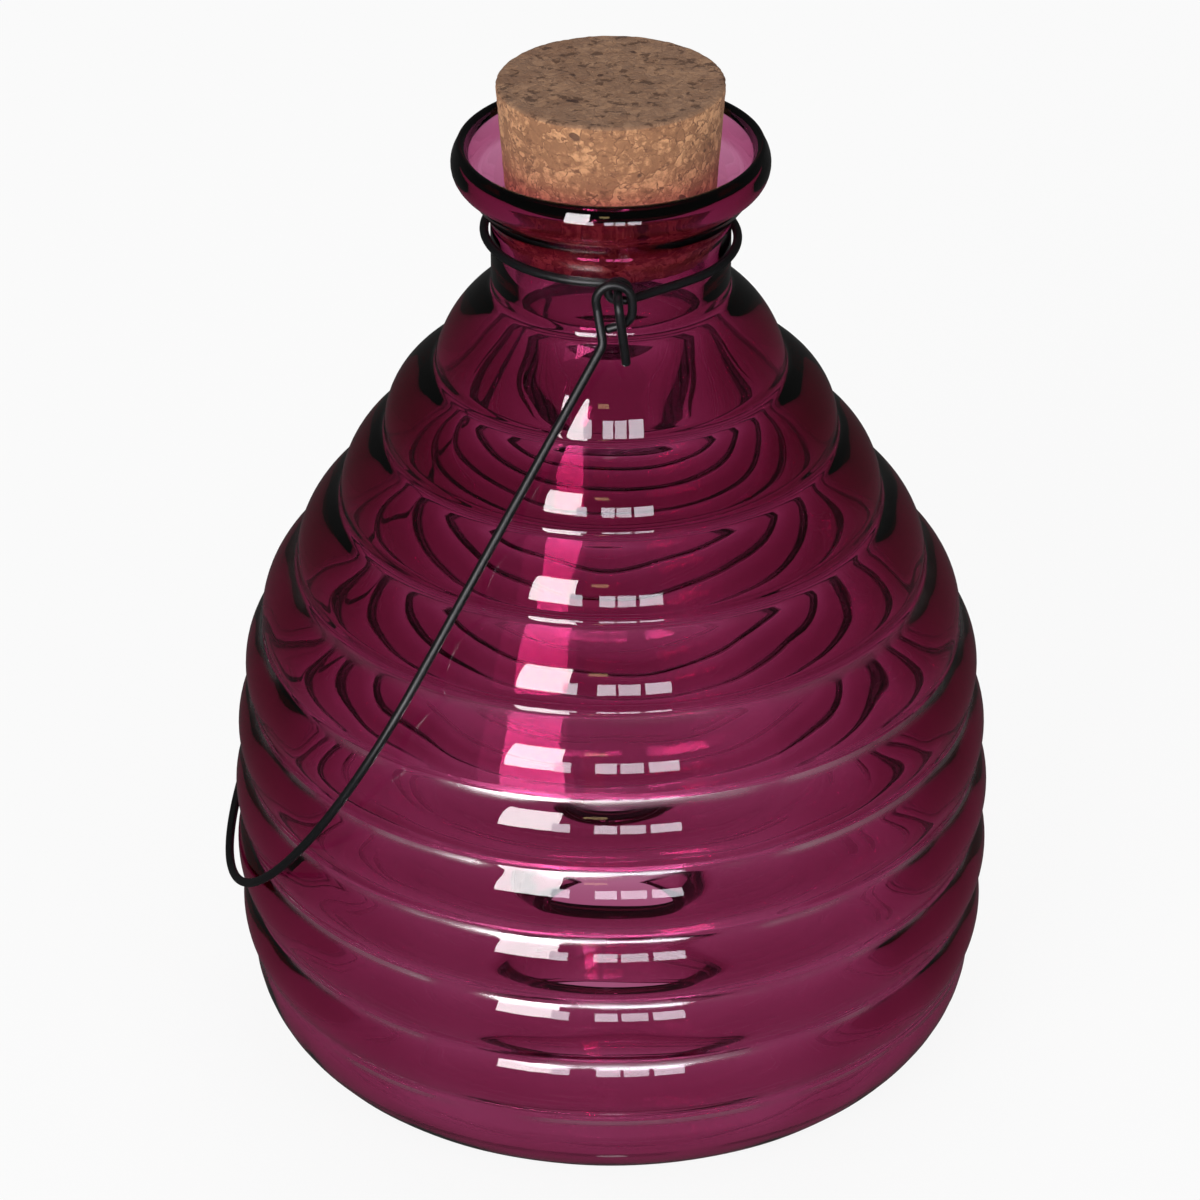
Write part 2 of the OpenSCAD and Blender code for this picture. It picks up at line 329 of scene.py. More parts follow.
class Pen:
    """Draws a half section in the XZ plane: lines by extrusion, arcs by spin"""

    LINE_STEP = 1.6 * MM
    ARC_STEP = math.radians(9)
    LEAST_ARC_STEPS = 3
    RIB_STEPS = 14
    GROOVE_STEPS = 6

    def __init__(self, bm, x, z):
        self.bm = bm
        self.tip = bm.verts.new((x, 0, z))

    def at(self):
        return Vector((self.tip.co.x, self.tip.co.z))

    def line(self, end):
        start = self.at()
        count = max(1, math.ceil((end - start).length / self.LINE_STEP))
        for i in range(count):
            here = start.lerp(end, (i + 1) / count)
            made = bmesh.ops.extrude_vert_indiv(self.bm, verts=[self.tip])
            self.tip = made["verts"][0]
            self.tip.co = (here.x, 0, here.y)

    def arc(self, centre, sweep, steps=None):
        count = steps or max(self.LEAST_ARC_STEPS, math.ceil(abs(sweep) / self.ARC_STEP))
        pivot = (centre.x, 0, centre.y)
        made = bmesh.ops.spin(
            self.bm, geom=[self.tip], cent=pivot, axis=(0, -1, 0), angle=sweep, steps=count
        )
        self.tip = next(v for v in made["geom_last"] if isinstance(v, bmesh.types.BMVert))

    def rib(self, centre, end):
        """Counter-clockwise round a centre, as far as the direction of a point"""
        sweep = bearing(end - centre) - bearing(self.at() - centre)
        self.arc(centre, sweep, self.RIB_STEPS)

    def groove(self, centre, end):
        """Clockwise round a centre, as far as the direction of a point"""
        sweep = bearing(end - centre) - bearing(self.at() - centre)
        self.arc(centre, sweep - math.tau if sweep > 0 else sweep, self.GROOVE_STEPS)

    def run(self, *corners):
        """Lines through corners, each (x, z, rounding); the last one is the end"""
        for here, after in zip(corners, corners[1:]):
            corner = Vector(here[:2])
            back = (self.at() - corner).normalized()
            ahead = (Vector(after[:2]) - corner).normalized()
            half = back.angle(ahead) / 2
            self.line(corner + back * (here[2] / math.tan(half)))
            centre = corner + (back + ahead).normalized() * (here[2] / math.sin(half))
            bent = math.pi - 2 * half
            self.arc(centre, bent if back.cross(ahead) < 0 else -bent)
        self.line(Vector(corners[-1][:2]))


def bearing(arrow):
    return math.atan2(arrow.y, arrow.x)


def arrow_at(turned):
    return Vector((math.cos(turned), math.sin(turned)))


def rib_circle(foot, top, swell):
    """The circle that swells out past the line between two grooves"""
    chord = top - foot
    radius = (chord.length_squared / 4 + swell * swell) / (2 * swell)
    out = Vector((chord.y, -chord.x)).normalized()
    return Circle((foot + top) / 2 + out * (swell - radius), radius)


def fillet_between(lower, upper, radius):
    """Centre of the fillet that touches two circles from outside"""
    first = lower.radius + radius
    second = upper.radius + radius
    line = upper.centre - lower.centre
    along = (line.length_squared + first * first - second * second) / (2 * line.length)
    side = math.sqrt(first * first - along * along)
    ahead = line.normalized()
    return lower.centre + ahead * along + Vector((ahead.y, -ahead.x)) * side


def new_piece(name, bm, material, node, body):
    """A bmesh as a smooth object in the scene, standing for a CAD node and riding on a body"""
    bmesh.ops.remove_doubles(bm, verts=bm.verts, dist=WELD)
    bmesh.ops.recalc_face_normals(bm, faces=bm.faces)
    for face in bm.faces:
        face.smooth = True
    mesh = bpy.data.meshes.new(name)
    bm.to_mesh(mesh)
    bm.free()
    mesh.materials.append(material)
    piece = bpy.data.objects.new(name, mesh)
    bpy.context.scene.collection.objects.link(piece)
    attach(piece, body)
    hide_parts(node)


def turn(bm, steps):
    """Spin a half section all the way round the Z axis"""
    section = bm.verts[:] + bm.edges[:]
    bmesh.ops.spin(
        bm, geom=section, cent=(0, 0, 0), axis=UP, angle=math.tau, steps=steps, use_merge=True
    )


# The glass
class GlassShape:
    """Radii and heights of the glass that follow from its sizes"""

    def __init__(self, glass, cork):
        self.size = glass
        self.top_groove_z = glass.heel_z + glass.rib_pitch * (glass.groove_count - 1)
        self.neck_z = self.top_groove_z + glass.top_rib_h
        self.lip_z = self.neck_z + glass.neck_h
        self.rim_z = GLASS_TOP
        self.throat_z = self.lip_z + glass.throat_up
        self.cork = cork
        self.neck_r = self.bore_r(self.lip_z) + glass.neck_wall
        self.lip_r = self.neck_r + glass.lip_reach
        self.heel_x = self.groove_r(glass.heel_z, 0) + glass.heel_swell - glass.heel_r

    def bore_r(self, z):
        taper = (self.cork.top_r - self.cork.foot_r) / (CORK_HIGH.z - CORK_LOW.z)
        return self.cork.foot_r + taper * (z - CORK_LOW.z) + self.cork.gap

    def groove_r(self, z, inset):
        size = self.size
        side = math.sqrt(size.side_curve_r ** 2 - (z - size.belly_z) ** 2)
        barrel = size.belly_r - inset - size.side_curve_r + side
        widened = size.shoulder_r + (self.top_groove_z - z) * math.tan(size.shoulder_slope)
        shoulder = widened - inset / math.cos(size.shoulder_slope)
        return min(barrel, shoulder)

    def circles(self, inset, swell, top_r, top_swell):
        """The heel and the ribs, as circles from the foot up"""
        size = self.size
        heights = [size.heel_z + size.rib_pitch * i for i in range(size.groove_count)]
        sink = 0 if inset else size.groove_sink
        spare = size.shoulder_wall if inset else 0
        points = []
        for z in heights:
            climbed = max(0, z - size.belly_z) / (self.top_groove_z - size.belly_z)
            points.append(Vector((self.groove_r(z, inset + spare * climbed) - sink, z)))
        sunk = 0 if inset else size.top_groove_in
        points[-1].x -= sunk
        points.append(Vector((top_r, self.neck_z)))
        swells = [swell] * (size.groove_count - 2) + [swell + sunk / 2, top_swell]
        found = [Circle(Vector((self.heel_x, size.heel_r)), size.heel_r - inset)]
        for foot, top, height in zip(points, points[1:], swells):
            found.append(rib_circle(foot, top, height + sink))
        return found

    def climb(self, pen, circles, rounding, wall_r):
        """Draw the heel, the ribs and their grooves, and the fillet into an upright wall"""
        for lower, upper in zip(circles, circles[1:]):
            centre = fillet_between(lower, upper, rounding)
            pen.rib(lower.centre, centre)
            pen.groove(centre, upper.centre)
        top = circles[-1]
        reach = top.radius + rounding
        across = wall_r + rounding - top.centre.x
        rise = math.sqrt(reach * reach - across * across)
        centre = Vector((wall_r + rounding, top.centre.y + rise))
        pen.rib(top.centre, centre)
        pen.groove(centre, centre - Vector((1, 0)))


class FLYTRAP_OT_glass(bpy.types.Operator):
    """Spin the ribbed glass, with its inlet, neck and lip"""

    bl_idname = "flytrap.glass"
    bl_label = "Glass"

    SPIN_STEPS = 180
    FOOT_ROUND = 1.4 * MM
    FLOOR_ROUND = 5 * MM
    FLARE_ROUND = 5 * MM
    THROAT_ROUND = 2.5 * MM
    # Where the arcs of the lip and of the rim start, and how far they turn
    LIP_FROM = math.radians(-60)
    LIP_TURN = math.radians(90)
    RIM_FROM = math.radians(45)
    RIM_TURN = math.radians(135)
    # Height above the foot of the neck where the two walls meet in the bore
    BORE_UP = 6 * MM
    # Heights over which the wandering of the wall sets in above the foot and dies out below the neck
    FOOT_FADE = 12 * MM
    NECK_FADE = 8 * MM
    # Waves per metre of the wandering, and the share of long and short waves on the inner wall
    LONG_WAVES = 42
    SHORT_WAVES = 90
    INNER_LONG = 3.5
    INNER_SHORT = 1.6
    INNER_SEED = Vector((3.1, 7.7, 1.3))

    def execute(self, context):
        settings = context.scene.fly_trap
        size = settings.glass
        shape = GlassShape(size, settings.cork)
        bm = bmesh.new()
        self.outside(bm, size, shape)
        self.inside(bm, size, shape)
        bmesh.ops.remove_doubles(bm, verts=bm.verts, dist=WELD)
        turn(bm, self.SPIN_STEPS)
        self.unsettle(bm, size, shape)
        new_piece("plum_glass", bm, plum_glass(size), "glass_bottle", "glass")
        return {"FINISHED"}

    def outside(self, bm, size, shape):
        """Foot, heel, ribs, neck, lip and throat, and down into the bore"""
        pen = Pen(bm, size.inlet_mouth_r + size.wall, 0)
        pen.line(Vector((shape.heel_x, 0)))
        circles = shape.circles(0, size.rib_swell, shape.neck_r, size.top_rib_swell)
        shape.climb(pen, circles, size.groove_round, shape.neck_r)
        lip = Vector((shape.lip_r - size.lip_round, shape.rim_z - size.lip_mid))
        under = lip + size.lip_round * arrow_at(self.LIP_FROM)
        pen.run((shape.neck_r, shape.lip_z, self.FLARE_ROUND), (under.x, under.y))
        pen.arc(lip, self.LIP_TURN)
        half = size.rim_t / 2
        rim = Vector((shape.lip_r - size.rim_inset - half, shape.rim_z - half))
        pen.line(rim + half * arrow_at(self.RIM_FROM))
        pen.arc(rim, self.RIM_TURN)
        cup = Vector((shape.lip_r - size.cup_wall - size.cup_round, shape.rim_z - size.cup_drop))
        pen.line(cup + Vector((size.cup_round, 0)))
        pen.arc(cup, -size.cup_turn)
        pen.run(
            (shape.bore_r(shape.throat_z), shape.throat_z, self.THROAT_ROUND),
            (shape.bore_r(shape.lip_z), shape.lip_z),
        )
        self.meet(pen, shape)

    def meet(self, pen, shape):
        """Draw on to the place in the bore where the outer and the inner wall meet"""
        z = shape.neck_z + self.BORE_UP
        pen.line(Vector((shape.bore_r(z), z)))

    def inside(self, bm, size, shape):
        """Inner wall from the inlet out over the floor and up to the bore, and the inlet itself"""
        neck_r = shape.bore_r(shape.neck_z)
        mouth = size.inlet_mouth_r
        half = size.wall / 2
        rim = Vector((size.inlet_r + half, size.inlet_h - half))
        pen = Pen(bm, rim.x + half, rim.y)
        pen.run((mouth + size.wall, size.wall, self.FLOOR_ROUND), (shape.heel_x, size.wall))
        circles = shape.circles(size.wall, size.inner_swell, neck_r, size.inner_swell)
        shape.climb(pen, circles, size.inner_round, neck_r)
        self.meet(pen, shape)
        pen = Pen(bm, rim.x + half, rim.y)
        pen.arc(rim, math.pi)
        pen.run((mouth, 0, self.FOOT_ROUND), (mouth + size.wall, 0))

    def unsettle(self, bm, size, shape):
        """Let the wall wander a little, as blown glass does, below the neck and above the foot"""
        for vert in bm.verts:
            low = min(1, vert.co.z / self.FOOT_FADE)
            high = max(0, min(1, (shape.neck_z - vert.co.z) / self.NECK_FADE))
            out = Vector((vert.co.x, vert.co.y, 0))
            if out.length < shape.groove_r(vert.co.z, size.wall / 2):
                wander = self.INNER_LONG * noise.noise(vert.co * self.LONG_WAVES + self.INNER_SEED)
                wander += self.INNER_SHORT * noise.noise(vert.co * self.SHORT_WAVES + self.INNER_SEED)
            else:
                wander = noise.noise(vert.co * self.LONG_WAVES)
            vert.co += out.normalized() * (size.unevenness * low * high * wander)


def plum_glass(size):
    """Clear glass, tinted plum in its depth, faintly wavy, with rough matt lines under the low grooves
    that carry a painted sheen
    """
    finish = Finish.material("plum_glass")
    waves = finish.noise(finish.place((1, 1, 0.6)), scale=55, detail=1.5)
    specks = finish.noise(finish.place(), scale=900)
    ribs_up = (finish.height() - size.heel_z) / size.rib_pitch
    under_groove = finish.step(ribs_up.fraction(), 0.87, 0.97)
    low = 1 - finish.step(ribs_up, 4, 8)
    # Rough matt lines under the low grooves; their metallic share is a painted sheen that brightens them
    # like a highlight
    line = under_groove * low * finish.step(waves, 0.3, 0.6)
    tint = {"Color": opaque(size.tint), "Density": size.depth}
    volume = finish.node("ShaderNodeVolumeAbsorption", {}, tint)
    return finish.surface({
        "Base Color": (1, 1, 1, 1),
        "Roughness": 0.004 + 0.02 * finish.step(specks, 0.62, 0.8) + 0.4 * line,
        # Painted sheen: the metallic share in the lines mirrors the surroundings to make them brighter
        "Metallic": 0.25 * line,
        "IOR": 1.51,
        "Transmission Weight": 1,
        "Normal": finish.bump(waves, distance=1.2 * MM, strength=0.06),
    }, volume)


# The cork
class FLYTRAP_OT_cork(bpy.types.Operator):
    """Turn the tapered cork and pit its surface between the granules"""

    bl_idname = "flytrap.cork"
    bl_label = "Cork"

    SPIN_STEPS = 160
    CAP_RINGS = 34
    # Width of the seams, in granules, and depth of seams and crumbs, in pit depths
    SEAM_WIDTH = 0.28
    SEAM_DEPTH = 0.45
    CRUMB_DEPTH = 2.4
    DEEPEST = 1.6
    # Crumbs per metre, and the level above which one is lost
    CRUMBS = 330
    CRUMB_LEVEL = 0.38

    def execute(self, context):
        size = context.scene.fly_trap.cork
        bm = bmesh.new()
        pen = Pen(bm, 0, CORK_LOW.z)
        pen.LINE_STEP = size.top_r / self.CAP_RINGS
        pen.run(
            (size.foot_r, CORK_LOW.z, size.edge),
            (size.top_r, CORK_HIGH.z, size.edge),
            (0, CORK_HIGH.z),
        )
        turn(bm, self.SPIN_STEPS)
        bmesh.ops.remove_doubles(bm, verts=bm.verts, dist=WELD)
        bmesh.ops.recalc_face_normals(bm, faces=bm.faces)
        bm.normal_update()
        self.pit(bm, size)
        new_piece("cork", bm, cork_grain(size), "cork_stopper", "cork")
        return {"FINISHED"}

    def pit(self, bm, size):
        """Sink the seams between granules and a few lost crumbs"""
        for vert in bm.verts:
            here = vert.co / size.granule
            near = noise.voronoi(here, distance_metric="DISTANCE", exponent=1)[0]
            seam = max(0, 1 - (near[1] - near[0]) / self.SEAM_WIDTH)
            crumb = max(0, noise.noise(vert.co * self.CRUMBS) - self.CRUMB_LEVEL)
            depth = min(self.DEEPEST, self.SEAM_DEPTH * seam + self.CRUMB_DEPTH * crumb)
            vert.co -= vert.normal * size.pit * depth


def cork_grain(size):
    """Pressed cork: granules of many browns, bark flecks, dark pits and a greyed top"""
    finish = Finish.material("cork_grain")
    here = finish.place()
    top = finish.step(finish.height(), CORK_HIGH.z - 0.6 * MM, CORK_HIGH.z - 0.25 * MM)
    drift = here
    for scale, reach in ((260, 5 * MM), (900, 1.8 * MM)):
        waves = {"Vector": here, "Scale": scale, "Detail": 2}
        wander = finish.node("ShaderNodeTexNoise", {}, waves, out=1)
        moved = {0: wander, 1: (reach,) * 3, 2: drift}
        drift = finish.node("ShaderNodeVectorMath", {"operation": "MULTIPLY_ADD"}, moved)
    cells = {"Vector": drift, "Scale": 1 / size.granule}
    shade = finish.node("ShaderNodeTexVoronoi", {"feature": "F1"}, cells, out=1)
    seam = finish.node("ShaderNodeTexVoronoi", {"feature": "DISTANCE_TO_EDGE"}, cells)
    grey = finish.node("ShaderNodeSeparateColor", {}, {0: shade})
    mottle = finish.noise(here, scale=620, detail=4, roughness=0.65)
    granules = finish.ramp(0.6 * grey + 2.6 * mottle - 1.1, (
        (0.14, blend(size.bark, size.mid, 2 / 3)),
        (0.42, size.mid),
        (0.62, blend(size.mid, size.pale, 1 / 2)),
        (0.85, size.pale),
    ))
    side_marks = finish.noise(finish.place((0.9, 0.9, 1.3)), scale=520, detail=3, roughness=0.6)
    side_flecks = finish.step(side_marks, 0.58, 0.68)
    top_marks = finish.noise(finish.place((0.8, 1, 1)), scale=560, detail=3, roughness=0.62)
    top_flecks = finish.step(top_marks, 0.55, 0.64)
    patches = finish.step(finish.noise(here, scale=150), 0.52, 0.7)
    pits = finish.step(finish.noise(here, scale=290, detail=1), 0.71, 0.75)
    dark_seam = 1 - finish.step(seam, 0, 0.09)
    coloured = finish.mix(0.8 * side_flecks, granules, size.bark)
    seamed = finish.mix(1.1 * dark_seam * finish.step(mottle, 0.45, 0.6), coloured, size.bark)
    aged = finish.mix(0.68 * top, seamed, size.aged)
    reddened = finish.mix(0.35 * top * patches, aged, size.bark)
    flecked = finish.mix(0.8 * top * top_flecks, reddened, tuple(0.5 * c for c in size.bark))
    base = finish.mix(0.85 * pits, flecked, size.dark)
    grain = finish.noise(here, scale=1500, detail=3, roughness=0.7)
    sunk = 0.6 * pits + 0.3 * top * top_flecks
    relief = 0.5 * grain + 0.4 * mottle + 0.3 * finish.step(seam, 0, 0.16) - sunk
    return finish.surface({
        "Base Color": base,
        "Roughness": 0.75 + 0.2 * mottle,
        "Normal": finish.bump(relief, distance=0.5 * MM, strength=0.6),
    })


# The wires
def once(things):
    """The things in their order, each one once"""
    return list(dict.fromkeys(things))


class BentWire:
    """A wire that is fed and bent step by step, as a round section swept by extrude and spin"""

    SIDES = 20
    TURN_STEP = math.radians(10)
    BEND_STEP = 1.5 * MM
    LEAST_STEPS = 4
    MOST_STEPS = 64
    # Rings of the rounded end: how far each is fed and how wide it is, in radii of the wire
    END_RINGS = ((0.35, 0.87), (0.21, 0.6), (0.07, 0.2))

    def __init__(self, bm, radius, start, heading, toward):
        self.bm = bm
        self.radius = radius
        self.here = Vector(start)
        self.heading = Vector(heading)
        self.toward = Vector(toward)
        facing = self.heading.to_track_quat("Z", "Y").to_matrix().to_4x4()
        place = Matrix.Translation(self.here) @ facing
        made = bmesh.ops.create_circle(bm, radius=radius, segments=self.SIDES, matrix=place)
        self.loop = once(edge for vert in made["verts"] for edge in vert.link_edges)

    def feed(self, distance):
        if distance > 0:
            made = bmesh.ops.extrude_edge_only(self.bm, edges=self.loop)["geom"]
            verts = [g for g in made if isinstance(g, bmesh.types.BMVert)]
            bmesh.ops.translate(self.bm, verts=verts, vec=self.heading * distance)
            self.loop = self.free_edges(verts)
            self.here = self.here + self.heading * distance

    def bend(self, roll, radius, sweep):
        side = self.heading.cross(self.toward)
        self.toward = self.toward * math.cos(roll) + side * math.sin(roll)
        axis = self.heading.cross(self.toward)
        centre = self.here + self.toward * radius
        by_length = min(self.MOST_STEPS, math.ceil(sweep * radius / self.BEND_STEP))
        steps = max(self.LEAST_STEPS, math.ceil(sweep / self.TURN_STEP), by_length)
        made = bmesh.ops.spin(
            self.bm, geom=self.loop, cent=centre, axis=axis, angle=sweep, steps=steps
        )["geom_last"]
        self.loop = self.free_edges([g for g in made if isinstance(g, bmesh.types.BMVert)])
        spun = Matrix.Rotation(sweep, 3, axis)
        self.here = centre + spun @ (self.here - centre)
        self.heading = spun @ self.heading
        self.toward = spun @ self.toward

    def free_edges(self, verts):
        """The edges of the newest ring"""
        ring = set(verts)
        return [e for e in once(e for v in verts for e in v.link_edges) if set(e.verts) <= ring]

    def follow(self, steps):
        """Steps of (feed, roll about the wire, bend radius, bend angle), then a rounded end"""
        for distance, roll, radius, sweep in steps:
            self.feed(distance)
            if sweep > 0:
                self.bend(roll, radius, sweep)
        for reach, share in self.END_RINGS:
            self.feed(reach * self.radius)
            ring = once(v for e in self.loop for v in e.verts)
            middle = Matrix.Translation(-self.here)
            now = max((v.co - self.here).length for v in ring)
            shrink = share * self.radius / now
            bmesh.ops.scale(self.bm, verts=ring, vec=(shrink, shrink, shrink), space=middle)
        bmesh.ops.contextual_create(self.bm, geom=self.loop)


class WireShape:
    """Places of the hooks, curls and eyes that follow from the wires' sizes"""

    def __init__(self, wire, glass_shape):
        half = wire.thickness / 2
        self.size = wire
        self.ring_r = glass_shape.neck_r + wire.neck_gap + half
        self.hook_z = glass_shape.neck_z + wire.hook_up
        self.hook_angle = math.asin((wire.hook_x - wire.bend_r) / (self.ring_r + wire.bend_r))
        self.hook_y = (self.ring_r + wire.bend_r) * math.cos(self.hook_angle)
        self.curl_r = wire.thickness + wire.hook_gap
        self.curl_y = self.hook_y + half + wire.hook_gap
        self.eye_y = self.curl_y + wire.thickness + wire.hook_gap
        self.tail_y = self.eye_y + half + wire.hook_gap
        belly = glass_shape.size.belly_r + glass_shape.size.rib_swell
        self.lean_x = belly + wire.lean_gap + half + wire.hook_x

    def hooked(self):
        """Steps from the left of the neck to the end of the hook's tail"""
        size = self.size
        return (
            (0, 0, self.ring_r, QUARTER + self.hook_angle),
            (0, math.pi, size.bend_r, QUARTER + self.hook_angle),
            (self.tail_y - self.hook_y, QUARTER + size.tail_lean, size.bend_r, QUARTER),
            (size.tail_len, 0, 0, 0),
        )

    def curled(self):
        """Steps from the right of the neck to the end of the curl round the hook"""
        size = self.size
        out = Vector((size.hook_x + size.curl_run, self.curl_y - size.bend_r))
        inner = self.ring_r - size.bend_r
        leave = math.atan2(out.x, out.y) + math.acos(inner / out.length)
        tangent = math.sqrt(out.length_squared - inner * inner)
        return (
            (0, 0, self.ring_r, QUARTER - leave),
            (tangent, 0, size.bend_r, leave),
            (size.curl_run, -QUARTER, self.curl_r, size.curl_turn),
        )

    def bail(self):
        """Steps from the middle of the arch to the eye, where the half starts, and its lean"""
        size = self.size
        spread, kink = size.leg_spread, size.eye_kink
        eye_r = size.eye_in_r + size.thickness / 2
        seat = size.eye_in_r - size.thickness / 2 - size.hook_gap
        flat = math.asin(math.cos(kink) * math.sin(spread))
        tilt = math.atan2(math.sin(kink), math.cos(kink) * math.cos(spread))
        roll = math.atan2(math.cos(spread), math.sin(kink) * math.sin(spread))
        leg = Vector((0, math.sin(spread), math.cos(spread)))
        across = Vector((1, 0, 0))
        side = math.cos(kink) * leg - math.sin(kink) * across
        eye = Vector((-math.sin(tilt), 0, math.cos(tilt)))
        lead = size.kink_r * (math.sin(kink) * leg - (1 - math.cos(kink)) * across)
        lead += size.eye_side * side + size.kink_run * eye
        lead += size.kink_r * (math.sin(flat) * eye + Vector((0, 1 - math.cos(flat), 0)))
        begin = Vector((-eye_r * math.cos(tilt), -self.eye_y, -seat - eye_r * math.sin(tilt)))
        leg_top = begin - lead
        arch_r = (size.leg_len * math.sin(spread) - leg_top.y) / math.cos(spread)
        drop = size.leg_len * math.cos(spread) + arch_r * (1 + math.sin(spread)) - leg_top.z
        lean = math.asin(self.lean_x / math.hypot(drop, leg_top.x)) + math.atan2(leg_top.x, drop)
        steps = (
            (0, 0, arch_r, QUARTER + spread),
            (size.leg_len, QUARTER, size.kink_r, kink),
            (size.eye_side, roll, size.kink_r, flat),
            (size.kink_run, QUARTER, eye_r, size.eye_turn),
            (size.eye_drop, 0, eye_r, size.eye_close),
            (size.eye_end, 0, 0, 0),
        )
        return steps, Vector((leg_top.x, 0, -drop)), lean


class FLYTRAP_OT_wires(bpy.types.Operator):
    """Bend the two halves of the neck wire and the bail, front and back alike"""

    bl_idname = "flytrap.wires"
    bl_label = "Wires"

    def execute(self, context):
        settings = context.scene.fly_trap
        size = settings.wire
        shape = WireShape(size, GlassShape(settings.glass, settings.cork))
        coat = black_coat(size)
        front = (0, -1, 0)
        still = Matrix.Identity(4)
        left = ((-shape.ring_r, 0, shape.hook_z), front, (1, 0, 0))
        right = ((shape.ring_r, 0, shape.hook_z - shape.curl_r), front, (-1, 0, 0))
        bail, foot, lean = shape.bail()
        leaned = Matrix.Translation((size.hook_x, 0, shape.hook_z)) @ Matrix.Rotation(lean, 4, "Y")
        wires = (
            ("neck_wire_left", "neck_wire_hooked", "neck_ring", left, shape.hooked(), still),
            ("neck_wire_right", "neck_wire_curled", "neck_ring", right, shape.curled(), still),
            ("bail", "bail_handle", "bail", (foot, front, UP), bail, leaned),
        )
        for name, node, body, begin, steps, place in wires:
            bm = bmesh.new()
            BentWire(bm, size.thickness / 2, *begin).follow(steps)
            half = bm.verts[:] + bm.edges[:] + bm.faces[:]
            bmesh.ops.mirror(bm, geom=half, matrix=still, merge_dist=WELD, axis="Y")
            bmesh.ops.transform(bm, matrix=place, verts=bm.verts)
            new_piece(name, bm, coat, node, body)
        return {"FINISHED"}


def black_coat(size):
    """Satin black coat with a faint drag along it and small dull marks"""
    finish = Finish.material("black_coat")
    here = finish.place()
    marks = finish.noise(here, scale=700, detail=3, roughness=0.6)
    drag = finish.noise(here, scale=160)
    worn = finish.step(marks, 0.62, 0.8)
    return finish.surface({
        "Base Color": finish.mix(0.6 * worn, size.black, tuple(3 * c for c in size.black)),
        "Roughness": 0.3 + 0.16 * drag + 0.12 * worn,
        "Normal": finish.bump(marks, distance=0.1 * MM, strength=0.35),
        "Specular IOR Level": 0.3,
    })


